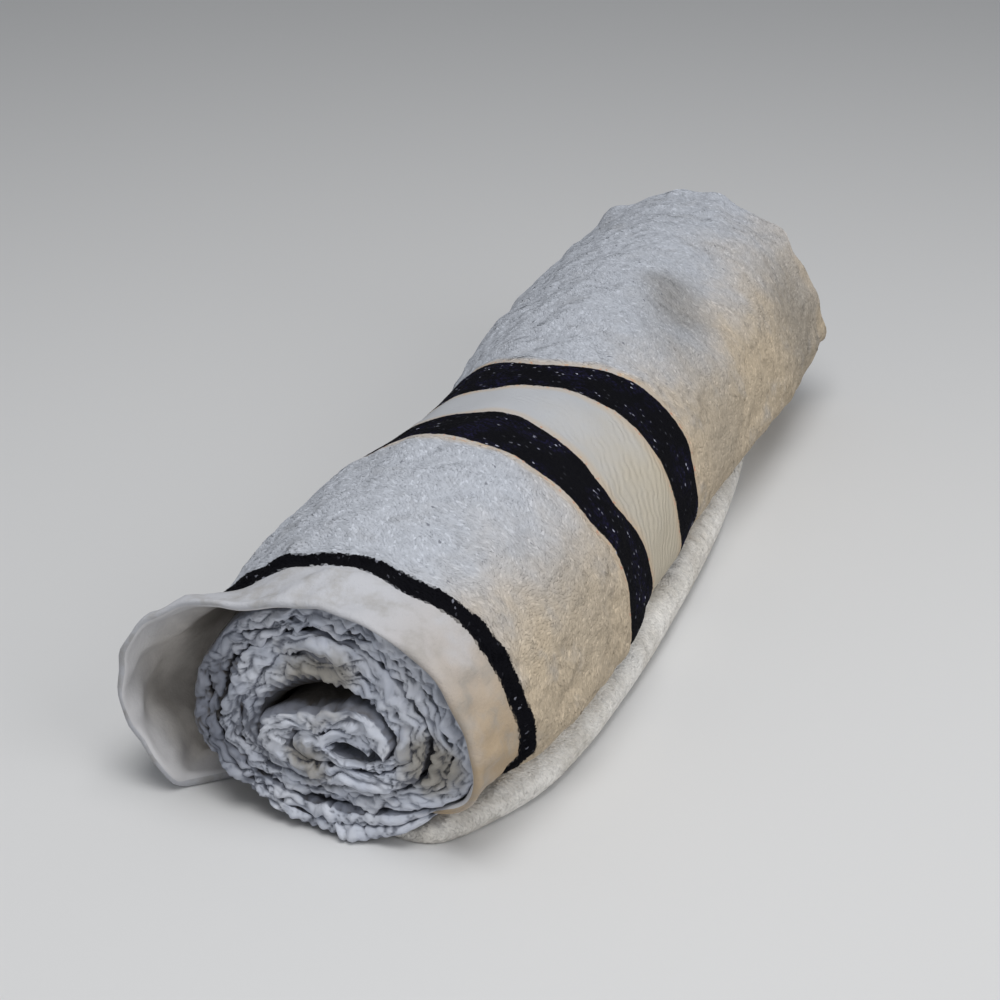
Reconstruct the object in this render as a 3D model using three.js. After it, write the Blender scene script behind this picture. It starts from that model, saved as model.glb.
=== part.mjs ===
import * as THREE from 'three';

// A bath towel, folded in three along its length and rolled up, lying on its side.
// The roll runs along Y and its hemmed end is the low one. One strip of cloth winds
// outwards in the section: a tongue, two thick turns, the outer wrap, a flap that hangs
// loose at the hemmed end, a run under the roll on the floor, and a rounded lip.

// Driving dimensions, in millimetres
const LENGTH = 467;
const CLOTH = 5.4; // thickness of one ply of terry
const HEM = 3.4; // thickness of the flat hem
const HEM_WIDTH = 27;
const HEM_STEP = 4; // length of the step from the hem up to the pile
const TURN_GAP = 1.3; // air between one turn and the next
const AXIS_HEIGHT = 41; // the roll's axis over the floor
const ROLL_DROP = AXIS_HEIGHT - CLOTH - TURN_GAP; // from the axis down to the roll's sagged bottom
const EDGE_ROUND = 4; // how far from an end its edge starts to round off
const NEAR_RECESS = 5; // the wound turns stay back from the hem's edge
const FAR_RECESS = 7; // and from the far rim
const RECESS_REACH = 60;
const RIM_WAVE = 2.2; // height of the far rim's waves
const RUN_RECESS = 32; // the cloth under the roll stays back most at this distance to the left
const RUN_RECESS_AT = -40;
const RUN_RECESS_SPAN = 30;
const FLOOR_ROUND = 5; // the bend where the flap meets the floor
const LIP_SLOPE = 22; // how far the lip takes to rise to its full height

// Shares of the roll's radius, or of the cloth's thickness for the edge
const EDGE_SHARE = 0.5;
const FOOT_SHARE = 0.38;
const DROP_SHARE = 0.34;

// Angles in the section, in degrees: 0 is to the right seen from the hemmed end, 90 is up
const TURN = 360;
const TURN_STEP = 15;
const WRAP_START = 1000;
const WRAP_SPAN = 45;
const WRAP_END = 1170;
const FLAP_START = 90;
const FLAP_END = 270;
const FLAP_STEP = 10;
const FLAP_SPAN = 62;
const FOOT_START = 200;
const FOOT_SPAN = 35;
const DROP_START = 212;
const DROP_SPAN = 45;
const LIP_ROUND = [28, 54, 74];

// Counts
const RIM_WAVES = 3;
const LIP_STEPS = 6;

// Sections along the roll: the wrap's radius and sideways place, the angle at which the
// flap leaves the roll and how far it lifts, the lip's reach to the right and its height,
// and how far the hollow over the tongue is open
const SECTIONS = [
  { along: 0, radius: 65.5, side: -6.5, leave: 102, lift: 0.37, lip: 18, lipHeight: 6.5, hollow: 1 },
  { along: 14, radius: 67.4, side: -5.6, leave: 116, lift: 0.37, lip: 39, lipHeight: 9, hollow: 1 },
  { along: 28, radius: 69.2, side: -4.6, leave: 131, lift: 0.36, lip: 50, lipHeight: 12.5, hollow: 0.9 },
  { along: 51, radius: 72.4, side: -3.2, leave: 148, lift: 0.31, lip: 63, lipHeight: 15.5, hollow: 0.6 },
  { along: 84, radius: 75.6, side: -1, leave: 160, lift: 0.22, lip: 70, lipHeight: 17, hollow: 0.25 },
  { along: 122, radius: 76.8, side: 1.9, leave: 168, lift: 0.13, lip: 73, lipHeight: 17, hollow: 0 },
  { along: 164, radius: 71.2, side: 2.6, leave: 170, lift: 0.08, lip: 75, lipHeight: 17, hollow: 0 },
  { along: 203, radius: 70.2, side: 4.4, leave: 170, lift: 0.07, lip: 75, lipHeight: 17, hollow: 0 },
  { along: 240, radius: 69.2, side: 3.4, leave: 170, lift: 0.07, lip: 75, lipHeight: 17, hollow: 0 },
  { along: 300, radius: 74, side: 3, leave: 170, lift: 0.07, lip: 72, lipHeight: 16, hollow: 0 },
  { along: 360, radius: 77.2, side: 3.3, leave: 170, lift: 0.07, lip: 65, lipHeight: 14, hollow: 0 },
  { along: 412, radius: 77.8, side: 4.8, leave: 170, lift: 0.07, lip: 55, lipHeight: 11, hollow: 0.2 },
  { along: 467, radius: 76.8, side: 5.4, leave: 170, lift: 0.07, lip: 45, lipHeight: 8, hollow: 0.45 },
];

// The winding strip from the tip of the tongue outwards, in shares of the roll's radius:
// its outer face, how far that face sags under the open hollow, and the strip's thickness
const WINDING = [
  { angle: 0, level: 0.42, sag: 0, thick: 0.26 },
  { angle: 45, level: 0.45, sag: 0.12, thick: 0.37 },
  { angle: 90, level: 0.47, sag: 0.2, thick: 0.44 },
  { angle: 135, level: 0.47, sag: 0.11, thick: 0.37 },
  { angle: 180, level: 0.48, sag: 0.01, thick: 0.33 },
  { angle: 270, level: 0.52, sag: 0, thick: 0.36 },
  { angle: 315, level: 0.55, sag: 0, thick: 0.27 },
  { angle: 360, level: 0.61, sag: 0, thick: 0.19 },
  { angle: 450, level: 0.69, sag: 0, thick: 0.19 },
  { angle: 540, level: 0.71, sag: 0, thick: 0.19 },
  { angle: 630, level: 0.76, sag: 0, thick: 0.19 },
  { angle: 690, level: 0.86, sag: 0, thick: 0.19 },
  { angle: 735, level: 0.895, sag: 0, thick: 0.19 },
  { angle: 900, level: 0.895, sag: 0, thick: 0.19 },
  { angle: 945, level: 0.91, sag: 0, thick: 0.19 },
  { angle: 990, level: 0.96, sag: 0, thick: 0.17 },
  { angle: 1035, level: 1, sag: 0, thick: 0.1 },
  { angle: 1170, level: 1, sag: 0, thick: 0.07 },
];

// Soft dents that the hands left in the roll: place, depth and half size
const DENTS = [
  { along: 335, angle: 62, depth: 4.5, length: 38, spread: 17 },
  { along: 395, angle: 25, depth: 3, length: 42, spread: 16 },
];

const { clamp, degToRad, smoothstep } = THREE.MathUtils;
const ease = (share) => smoothstep(share, 0, 1);
const bell = (share) => Math.exp(-share * share);

// A smooth curve through each column of a table, read at any value of its key column
function curveThrough(table, key) {
  const columns = Object.keys(table[0]).filter((name) => name !== key);
  const places = table.map((row) => row[key]);
  const values = table.flatMap((row) => columns.map((name) => row[name]));
  const curve = new THREE.CubicInterpolant(places, values, columns.length);
  return (at) => {
    const found = curve.evaluate(at);
    return Object.fromEntries(columns.map((name, column) => [name, found[column]]));
  };
}

const sectionAt = curveThrough(SECTIONS, 'along');
const windingAt = curveThrough(WINDING, 'angle');

// The roll's radius and drop at one angle of a section, with the dents taken off
function rollSize(section, angle) {
  let dent = 0;
  for (const { along, angle: at, depth, length, spread } of DENTS) {
    const turned = ((angle - at + TURN / 2) % TURN + TURN) % TURN - TURN / 2;
    dent += depth * bell((section.along - along) / length) * bell(turned / spread);
  }
  const radius = section.radius - dent;
  const height = Math.sin(degToRad(angle)) < 0 ? ROLL_DROP : radius;
  return { radius, height };
}

// A point of the section at an angle and a share of the roll's radius
function rollPoint(section, angle, level) {
  const { radius, height } = rollSize(section, angle);
  const x = section.side + level * radius * Math.cos(degToRad(angle));
  const z = AXIS_HEIGHT + level * height * Math.sin(degToRad(angle));
  return new THREE.Vector2(x, z);
}

// Distance from the axis to the roll's face at an angle
function rollReach(section, angle) {
  const { radius, height } = rollSize(section, angle);
  return Math.hypot(radius * Math.cos(degToRad(angle)), height * Math.sin(degToRad(angle)));
}

// How much of the cloth's thickness the flat hem lacks at a distance from its edge
function hemThinning(along) {
  return (CLOTH - HEM) * (1 - ease((along - HEM_WIDTH) / HEM_STEP));
}

// How far the far rim comes in or out at an angle
function rimWave(angle) {
  return RIM_WAVE * Math.sin(degToRad(angle * RIM_WAVES));
}

// The outer face of the winding strip, sagged where the hollow is open
function woundLevel(section, angle) {
  const { level, sag } = windingAt(angle);
  return level - sag * section.hollow;
}

// The wound turns and the wrap: each turn lies a small gap outside the turn within it
function windingStrip(section) {
  const strip = [];
  for (let angle = 0; angle <= WRAP_END; angle += TURN_STEP) {
    const reach = rollReach(section, angle);
    const { level, thick } = windingAt(angle);
    const wrap = ease((angle - WRAP_START) / WRAP_SPAN);
    const thickest = (1 - wrap) * thick + (wrap * CLOTH) / reach;
    const within = angle < TURN ? 0 : woundLevel(section, angle - TURN) + TURN_GAP / reach;
    const inner = Math.max(within, level - thickest);
    const outer = woundLevel(section, angle) - (wrap * hemThinning(section.along)) / reach;
    strip.push({
      outer: rollPoint(section, angle, outer),
      inner: rollPoint(section, angle, inner),
      nearRecess: (1 - wrap) * NEAR_RECESS,
      farRecess: (1 - wrap) * FAR_RECESS + rimWave(angle),
    });
  }
  return strip;
}

// A height that turns smoothly into the flat floor
function ontoFloor(z) {
  if (z >= FLOOR_ROUND) return z;
  return z <= -FLOOR_ROUND ? 0 : (z + FLOOR_ROUND) ** 2 / (4 * FLOOR_ROUND);
}

// The outer face of the flap at an angle: it leaves the wrap, stands off and meets the floor
function flapFace(section, angle) {
  const lift = section.lift * ease((angle - section.leave) / FLAP_SPAN);
  const foot = 1 + FOOT_SHARE * ease((angle - FOOT_START) / FOOT_SPAN);
  const drop = DROP_SHARE * ease((angle - DROP_START) / DROP_SPAN);
  const point = rollPoint(section, angle, 1 + lift * foot + drop);
  point.y = ontoFloor(point.y);
  return point;
}

// How far the cloth on the floor stays back from the hemmed end at a place under the roll
function runRecess(x) {
  return RUN_RECESS * bell((x - RUN_RECESS_AT) / RUN_RECESS_SPAN);
}

// The loose flap, from the top of the roll down to the floor under its middle
function flapStrip(section) {
  const strip = [];
  for (let angle = FLAP_START + FLAP_STEP; angle <= FLAP_END; angle += FLAP_STEP) {
    const face = flapFace(section, angle);
    const ahead = flapFace(section, angle + 1).sub(flapFace(section, angle - 1)).normalize();
    const inward = new THREE.Vector2(-ahead.y, ahead.x);
    const hem = hemThinning(section.along) * (1 - ease((angle - FOOT_START) / FOOT_SPAN));
    strip.push({
      outer: face.clone().addScaledVector(inward, hem),
      inner: face.clone().addScaledVector(inward, CLOTH),
      nearRecess: runRecess(face.x) * ease((angle - FOOT_START) / FOOT_SPAN),
      farRecess: rimWave(angle),
    });
  }
  return strip;
}

// The lip: the cloth on the floor right of the middle, thicker to its rounded edge
function lipStrip(section) {
  const { side, radius, lip, lipHeight } = section;
  const half = lipHeight / 2;
  const strip = [];
  for (let step = 1; step <= LIP_STEPS; step += 1) {
    const x = side + ((lip - half - side) * step) / LIP_STEPS;
    const rise = ease(1 - (lip - half - x) / LIP_SLOPE);
    const share = clamp((x - side) / radius, -1, 1);
    const roof = AXIS_HEIGHT - ROLL_DROP * Math.sqrt(1 - share * share) - TURN_GAP;
    const top = Math.min(CLOTH + (lipHeight - CLOTH) * rise, roof);
    strip.push({ outer: new THREE.Vector2(x, 0), inner: new THREE.Vector2(x, top) });
  }
  for (const turn of LIP_ROUND) {
    const x = lip - half + half * Math.sin(degToRad(turn));
    const halfHeight = half * Math.cos(degToRad(turn));
    strip.push({
      outer: new THREE.Vector2(x, half - halfHeight),
      inner: new THREE.Vector2(x, half + halfHeight),
    });
  }
  return strip.map((place) => ({
    ...place,
    nearRecess: runRecess(place.outer.x),
    farRecess: FAR_RECESS / 2,
  }));
}

// Places along the roll: every section, both sides of the hem's step, and one place close
// to each end for its round edge
const PLACES = [
  ...SECTIONS.map((row) => row.along),
  EDGE_ROUND,
  HEM_WIDTH + HEM_STEP,
  LENGTH - EDGE_ROUND,
].sort((first, second) => first - second);

// One section of the strip in space, with the recesses of its ends and its rounded edges
function spaceSection(along) {
  const section = { along, ...sectionAt(along) };
  const strip = [...windingStrip(section), ...flapStrip(section), ...lipStrip(section)];
  const nearShare = ease(1 - along / RECESS_REACH);
  const farShare = ease(1 - (LENGTH - along) / RECESS_REACH);
  const atEdge = along === 0 || along === LENGTH;
  return strip.map(({ outer, inner, nearRecess, farRecess }) => {
    const y = along + nearRecess * nearShare - farRecess * farShare;
    const thin = atEdge ? (1 - EDGE_SHARE) / 2 : 0;
    const outside = outer.clone().lerp(inner, thin);
    const inside = inner.clone().lerp(outer, thin);
    return {
      outer: new THREE.Vector3(outside.x, y, outside.y),
      inner: new THREE.Vector3(inside.x, y, inside.y),
    };
  });
}

// The closed skin of the strip: both faces, both ends, the tongue's tip and the lip's edge
function stripGeometry() {
  const rows = PLACES.map(spaceSection);
  const steps = rows[0].length;
  const last = rows.length - 1;
  const positions = rows.flatMap((row) => row.flatMap(({ outer, inner }) => [...outer, ...inner]));
  const outer = (step, row) => 2 * (row * steps + step);
  const inner = (step, row) => outer(step, row) + 1;
  const triangles = [];
  const quad = (a, b, c, d) => triangles.push(a, b, c, a, c, d);
  for (let row = 0; row < last; row += 1) {
    for (let step = 0; step < steps - 1; step += 1) {
      quad(outer(step, row), outer(step, row + 1), outer(step + 1, row + 1), outer(step + 1, row));
      quad(inner(step, row), inner(step + 1, row), inner(step + 1, row + 1), inner(step, row + 1));
    }
    const end = steps - 1;
    quad(outer(0, row), inner(0, row), inner(0, row + 1), outer(0, row + 1));
    quad(outer(end, row), outer(end, row + 1), inner(end, row + 1), inner(end, row));
  }
  for (let step = 0; step < steps - 1; step += 1) {
    quad(outer(step, 0), outer(step + 1, 0), inner(step + 1, 0), inner(step, 0));
    quad(outer(step, last), inner(step, last), inner(step + 1, last), outer(step + 1, last));
  }
  const geometry = new THREE.BufferGeometry();
  geometry.setAttribute('position', new THREE.Float32BufferAttribute(positions, 3));
  geometry.setIndex(triangles);
  return geometry;
}

// The origin is under the middle of the roll, on the floor
function placedOnFloor(geometry) {
  geometry.computeBoundingBox();
  const middle = geometry.boundingBox.getCenter(new THREE.Vector3());
  geometry.translate(-middle.x, -middle.y, -geometry.boundingBox.min.z);
  geometry.computeVertexNormals();
  return geometry;
}

const terry = new THREE.MeshStandardMaterial({ color: 0xd6d5d2, roughness: 0.95, metalness: 0 });
const towel = new THREE.Mesh(placedOnFloor(stripGeometry()), terry);
towel.name = 'towel';

const part = new THREE.Group();
part.add(towel);

export default part;
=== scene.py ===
import math
from types import SimpleNamespace

import bmesh
import bpy
import numpy as np
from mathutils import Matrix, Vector, noise


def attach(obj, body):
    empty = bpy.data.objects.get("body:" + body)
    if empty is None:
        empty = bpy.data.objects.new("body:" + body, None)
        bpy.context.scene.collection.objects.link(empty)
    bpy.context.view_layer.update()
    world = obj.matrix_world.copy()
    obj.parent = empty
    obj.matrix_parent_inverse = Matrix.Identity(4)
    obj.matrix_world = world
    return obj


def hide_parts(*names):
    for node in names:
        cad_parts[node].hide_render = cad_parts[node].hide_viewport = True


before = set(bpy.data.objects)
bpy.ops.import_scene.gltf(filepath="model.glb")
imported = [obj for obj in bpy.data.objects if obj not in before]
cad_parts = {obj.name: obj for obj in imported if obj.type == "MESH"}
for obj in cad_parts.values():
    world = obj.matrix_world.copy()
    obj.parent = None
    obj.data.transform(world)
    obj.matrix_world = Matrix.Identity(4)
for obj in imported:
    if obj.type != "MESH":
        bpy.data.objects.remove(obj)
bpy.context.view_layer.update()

bl_info = {
    "name": "Rolled Bath Towel",
    "version": (1, 0, 0),
    "blender": (4, 5, 0),
    "location": "3D View > Sidebar > Towel",
    "description": "A striped terry bath towel, folded in three, rolled up and laid on its side",
    "category": "Add Mesh",
}

# The cloth is worked out in millimetres, in the roll's own frame: the hemmed end at y = 0, the
# floor at z = 0. MM and ROLL_ORIGIN take it to the part's frame.
MM = 0.001
ROLL_ORIGIN = np.array([7.53, -234.6, 0])

# The roll's form: the part's own, with a finer winding, dents, far rim and lip
LENGTH = 467
CLOTH = 5.4
HEM = 3.4
HEM_WIDTH = 27
HEM_STEP = 4
TURN_GAP = 1.3
AXIS_HEIGHT = 41
ROLL_DROP = AXIS_HEIGHT - CLOTH - TURN_GAP
NEAR_RECESS = 5
FAR_RECESS = 7
RECESS_REACH = 60
RIM_WAVE = 2.2
RIM_WAVES = 3
RIM_SCALLOP = 1.3
RUN_RECESS = 32
RUN_RECESS_AT = -40
RUN_RECESS_SPAN = 30
FLOOR_ROUND = 5
LIP_SLOPE = 22
TUCK = 13
TUCK_SPAN = 72
FOOT_SHARE = 0.38
DROP_SHARE = 0.34
HOLLOW_SHARE = 0.6

# Places on the winding path, in degrees: whole turns of 360, 0 to the right seen from the hemmed end
TURN = 360
WRAP_START = 1000
WRAP_SPAN = 45
FLAP_START = 1170
FLAP_SPAN = 62
FOOT_START = 1280
FOOT_SPAN = 35
DROP_START = 1292
DROP_SPAN = 45
RUN_START = 1350
RUN_END = 1410
LIP_END = 1500
PLY_END = 1046
RUN_BLEND = (RUN_START, 20)
WRAP_BLEND = (WRAP_START, 40)

# Where the ruffles that hang down before the lip start and end across the roll, and over what span
RUFFLES_START = (-40, 30)
RUFFLES_END = (4, 34)

# The far rim's scallops: waves in a turn, share and phase
SCALLOPS = ((9, 1, 0), (14, 0.8, 1.3), (23, 0.5, 0.4))
SCALLOP_REACH = 14


def table(columns, rows):
    """A table's columns by name."""
    return dict(zip(columns.split(), np.array(rows, float).T))


SECTIONS = table("along radius side leave lift lip lip_height hollow", [
    (0, 65.5, -6.5, 102, 0.37, 18, 6.5, 1),
    (14, 67.4, -5.6, 116, 0.37, 39, 9, 1),
    (28, 69.2, -4.6, 131, 0.36, 50, 12.5, 0.9),
    (51, 72.4, -3.2, 148, 0.31, 63, 17.5, 0.6),
    (84, 75.6, -1, 160, 0.22, 70.5, 19.5, 0.25),
    (122, 76.8, 1.9, 168, 0.13, 74, 20.5, 0),
    (164, 71.2, 2.6, 170, 0.08, 76, 22, 0),
    (203, 70.2, 4.4, 170, 0.07, 76, 22, 0),
    (240, 69.2, 3.4, 170, 0.07, 75.5, 21.5, 0),
    (300, 74, 3, 170, 0.07, 72, 18.5, 0),
    (360, 77.2, 3.3, 170, 0.07, 65, 15, 0),
    (412, 77.8, 4.8, 170, 0.07, 55, 11, 0.2),
    (467, 76.8, 5.4, 170, 0.07, 45, 8, 0.45),
])
WINDING = table("angle level sag thick", [
    (0, 0.42, 0, 0.2),
    (25, 0.44, 0.04, 0.36),
    (45, 0.45, 0.08, 0.45),
    (90, 0.47, 0.255, 0.47),
    (135, 0.47, 0.2, 0.47),
    (180, 0.48, 0.06, 0.48),
    (270, 0.52, 0, 0.52),
    (305, 0.545, 0, 0.44),
    (330, 0.57, 0, 0.3),
    (360, 0.61, 0, 0.19),
    (405, 0.655, 0, 0.24),
    (450, 0.69, 0, 0.29),
    (540, 0.71, 0, 0.27),
    (630, 0.77, 0, 0.22),
    (690, 0.88, 0, 0.27),
    (735, 0.9, 0, 0.25),
    (780, 0.895, 0, 0.26),
    (900, 0.895, 0, 0.2),
    (945, 0.91, 0, 0.19),
    (990, 0.96, 0, 0.2),
    (1035, 1, 0, 0.2),
    (1170, 1, 0, 0.15),
])
DENTS = table("along angle depth length spread", [
    (335, 62, 7.5, 34, 15),
    (395, 25, 3, 42, 16),
])

# Weave zones along the flat towel from the hemmed end
PILE_STRIPE = (27, 36)
TERRY_NEAR = (36.5, 120)
STRIPE_NEAR = (122.5, 163.5)
BAND = (165.5, 202.5)
STRIPE_FAR = (204.5, 237.5)
TERRY_FAR = (240, LENGTH)
LINES = ((120, 122.5), (163.5, 165.5), (202.5, 204.5), (237.5, 240))

# How rolling pulled the weave uneven: where the hem, the stripe beside it and the edges of the two
# wide stripes lie along the roll, at places on the path
DRAWN = table("angle hem hem_stripe near_low near_high far_low far_high", [
    (1060, 27, 36, 122.5, 163.5, 204.5, 237.5),
    (1090, 26, 34, 122, 161, 202, 236),
    (1104, 25.7, 33.3, 125, 158, 204, 241),
    (1120, 26, 33, 120.5, 149, 206.5, 243),
    (1136, 25, 31.3, 119.5, 157, 207, 241),
    (1152, 24, 30, 123, 163, 205.5, 236),
    (1170, 25.5, 30, 124.5, 165, 201, 223),
    (1184, 25.5, 30, 125.5, 161, 196, 225),
    (1198, 24, 32, 124, 155, 194, 234),
    (1240, 27, 36, 122.5, 163.5, 204.5, 237.5),
])
FLAT = (0, HEM_WIDTH, PILE_STRIPE[1], *STRIPE_NEAR, *STRIPE_FAR, LENGTH)

TWILL = 3.6 * MM
TWILL_SLOPE = math.radians(28)
HALO = 2.4

# Worn and soiled places on the right side; the first three rows are painted shade in the dent there: the
# path's angle, the place along, radius and strength
SMUDGES_AND_DENT_SHADE = table("angle along radius share", [
    (1150, 342, 24, 0.6),
    (1142, 322, 30, 0.65),
    (1137, 290, 30, 0.3),
    (1100, 425, 52, 0.6),
    (1108, 85, 40, 0.25),
    (1100, 285, 48, 0.3),
])
# Brown places on the roll's hemmed end, partly soiling and partly painted shade in its pockets and the
# gap on the right: the middle in the part's frame and the radius
SOILED_AND_SHADED = (
    ((0.043, -0.230, 0.040), 0.019),
    ((-0.003, -0.230, 0.068), 0.021),
    ((-0.006, -0.230, 0.030), 0.012),
)
SEED = 7


def ease(share):
    share = np.clip(share, 0, 1)
    return share * share * (3 - 2 * share)


def ramp(value, start, span):
    """0 up to the start, 1 from a span on, and smooth between."""
    return ease((value - start) / span)


def bell(share):
    return np.exp(-share * share)


def hump(value, middle, reach):
    """1 at the middle, and soft down to 0 on both sides."""
    return bell((value - middle) / reach)


def cosine(degrees):
    return np.cos(np.radians(degrees))


def sine(degrees):
    return np.sin(np.radians(degrees))


def blend(first, second, share):
    return first + (second - first) * share


def unit(vectors):
    return vectors / np.maximum(np.linalg.norm(vectors, axis=-1, keepdims=True), 1e-9)


def run_lengths(points):
    """How far along a line each of its points is."""
    steps = np.linalg.norm(np.diff(points, axis=0), axis=1)
    return np.concatenate([[0], np.cumsum(steps)])


def curve_through(columns, key, name, at):
    """A smooth curve through one column of a table, read at any values of its key column."""
    keys, values = columns[key], columns[name]
    rise = np.diff(values) / np.diff(keys)
    slope = np.concatenate([rise[:1], (rise[:-1] + rise[1:]) / 2, rise[-1:]])
    at = np.clip(at, keys[0], keys[-1])
    row = np.clip(np.searchsorted(keys, at, side="right") - 1, 0, len(keys) - 2)
    step = keys[row + 1] - keys[row]
    t = (at - keys[row]) / step
    return (
        (1 + 2 * t) * (1 - t) ** 2 * values[row]
        + t * (1 - t) ** 2 * step * slope[row]
        + t * t * (3 - 2 * t) * values[row + 1]
        - t * t * (1 - t) * step * slope[row + 1]
    )


def section(name, along):
    return curve_through(SECTIONS, "along", name, along)


def winding(name, angle):
    return curve_through(WINDING, "angle", name, angle)


def bumps(points, size, shift=0.0):
    """Smooth noise from -1 to 1 at points, with bumps of one size."""
    places = (points / size + shift).reshape(-1, 3)
    return np.array([noise.noise(place) for place in places.tolist()]).reshape(points.shape[:-1])


def uneven(points, waves):
    """Noise of several waves, each with its height, size and shift."""
    return sum(height * bumps(points, size, shift) for height, size, shift in waves)


# The roll's section


def roll_size(angle, along):
    """The roll's radius and its height over or under the axis, with the dents taken off."""
    dent = 0
    for at, middle, depth, length, spread in zip(*DENTS.values()):
        apart = (angle - middle + TURN / 2) % TURN - TURN / 2
        dent = dent + depth * hump(along, at, length) * bell(apart / spread)
    radius = section("radius", along) - dent
    return radius, np.where(sine(angle) < 0, ROLL_DROP, radius)


def roll_point(angle, along, level):
    radius, height = roll_size(angle, along)
    x = section("side", along) + level * radius * cosine(angle)
    z = AXIS_HEIGHT + level * height * sine(angle)
    return x, z


def roll_reach(angle, along):
    radius, height = roll_size(angle, along)
    return np.hypot(radius * cosine(angle), height * sine(angle))


def wound_level(angle, along):
    open_to = np.where(along < LENGTH / 2, HOLLOW_SHARE * along, along)
    return winding("level", angle) - winding("sag", angle) * section("hollow", open_to)


def onto_floor(z):
    return np.where(z >= FLOOR_ROUND, z, np.maximum(z + FLOOR_ROUND, 0) ** 2 / (4 * FLOOR_ROUND))


def run_recess(x):
    return RUN_RECESS * hump(x, RUN_RECESS_AT, RUN_RECESS_SPAN)


def lip_recess(x):
    """The lip's near end stays behind the ruffles that hang down before it."""
    return TUCK * (1 - ramp(x, *RUFFLES_END)) * ramp(x, *RUFFLES_START)


def ends_drawn_in(along, near, far):
    """A place along the roll after its ends stay back by the near and far recess."""
    near_share = ease(1 - along / RECESS_REACH)
    far_share = ease(1 - (LENGTH - along) / RECESS_REACH)
    return along + near * near_share - far * far_share


# The outer sheet: wrap, flap, the run on the floor and the lip


def far_rim_wave(path, along):
    """How far the far rim stands out in soft scallops."""
    turn = np.radians(path)
    wave = sum(share * np.sin(count * turn + phase) for count, share, phase in SCALLOPS)
    on_wrap = 1 - ramp(path, FOOT_START, FOOT_SPAN)
    return RIM_SCALLOP * wave * hump(along, LENGTH, SCALLOP_REACH) * on_wrap


def lip_form(along):
    """The roll's middle, the lip's edge and half the lip's height."""
    return section("side", along), section("lip", along), section("lip_height", along) / 2


def lip_turn(path):
    return np.radians(np.clip(path - RUN_END, 0, 90))


def outer_section(path, along):
    """x and z of the sheet's outer face."""
    lift = section("lift", along) * ramp(path - 3 * TURN, section("leave", along), FLAP_SPAN)
    foot = 1 + FOOT_SHARE * ramp(path, FOOT_START, FOOT_SPAN)
    drop = DROP_SHARE * ramp(path, DROP_START, DROP_SPAN)
    level = np.where(path < FLAP_START, wound_level(path, along), 1 + lift * foot + drop)
    level = level + far_rim_wave(path, along) / roll_reach(path, along)
    x, z = roll_point(path, along, level)
    side, lip, half = lip_form(along)
    share = np.clip((path - RUN_START) / (RUN_END - RUN_START), 0, 1)
    run_x = side + (lip - half - side) * share + half * np.sin(lip_turn(path))
    run_z = half * (1 - np.cos(lip_turn(path)))
    return np.where(path > RUN_START, run_x, x), np.where(path > RUN_START, run_z, onto_floor(z))


def inner_section(path, along):
    """x and z of the sheet's inner face, which is the lip's top."""
    x, z = outer_section(path, along)
    ahead, behind = outer_section(path + 0.5, along), outer_section(path - 0.5, along)
    run_x, run_z = ahead[0] - behind[0], ahead[1] - behind[1]
    size = np.maximum(np.hypot(run_x, run_z), 1e-9)
    thick = CLOTH * ramp(path, WRAP_START, WRAP_SPAN)
    side, lip, half = lip_form(along)
    rise = ease(1 - (lip - half - x) / LIP_SLOPE)
    share = np.clip((x - side) / section("radius", along), -1, 1)
    roof = AXIS_HEIGHT - ROLL_DROP * np.sqrt(1 - share * share) - TURN_GAP
    top = np.minimum(CLOTH + (2 * half - CLOTH) * rise, roof)
    top = np.where(path > RUN_END, half + half * np.cos(lip_turn(path)), top)
    return (
        np.where(path > RUN_START, x, x - run_z / size * thick),
        np.where(path > RUN_START, top, z + run_x / size * thick),
    )


def drawn(path, along):
    """Where a place of the flat weave lies along the roll."""
    knots = [0, *(curve_through(DRAWN, "angle", name, path) for name in list(DRAWN)[1:]), LENGTH]
    place = 0
    for row in range(len(FLAT) - 1):
        share = np.clip((along - FLAT[row]) / (FLAT[row + 1] - FLAT[row]), 0, 1)
        place = place + (knots[row + 1] - knots[row]) * share
    return place


def sheet_point(path, along, across):
    """A point of the sheet, across from 0 on the outer face to 1 on the inner one."""
    along = drawn(path, along)
    x, z = outer_section(path, along)
    inner_x, inner_z = inner_section(path, along)
    on_wrap = 1 - ramp(path, FOOT_START, FOOT_SPAN)
    hem = (1 - HEM / CLOTH) * on_wrap * (1 - ramp(along, HEM_WIDTH, HEM_STEP))
    across = hem + (1 - hem) * across
    wrap = ramp(path, WRAP_START, WRAP_SPAN)
    tucked = 1 - ramp(path, WRAP_START, TUCK_SPAN)
    near = tucked * TUCK + (run_recess(x) + lip_recess(x)) * (1 - on_wrap)
    far_rim = (1 - wrap) * FAR_RECESS + RIM_WAVE * sine(path * RIM_WAVES)
    far = blend(far_rim, FAR_RECESS / 2, ramp(path, *RUN_BLEND))
    y = ends_drawn_in(along, near, far) + 0 * x
    return np.stack([blend(x, inner_x, across), y, blend(z, inner_z, across)], -1)


def sheet_frame(path, along, across):
    """A point of the sheet's face, the way out of the face, round the roll and along it."""
    point = sheet_point(path, along, across)
    around = sheet_point(path + 0.4, along, across) - sheet_point(path - 0.4, along, across)
    length = sheet_point(path, along + 1, across) - sheet_point(path, along - 1, across)
    out = np.cross(length, around) * (1 - 2 * np.round(across))[..., None]
    return point, unit(out), unit(around), unit(length)


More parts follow.
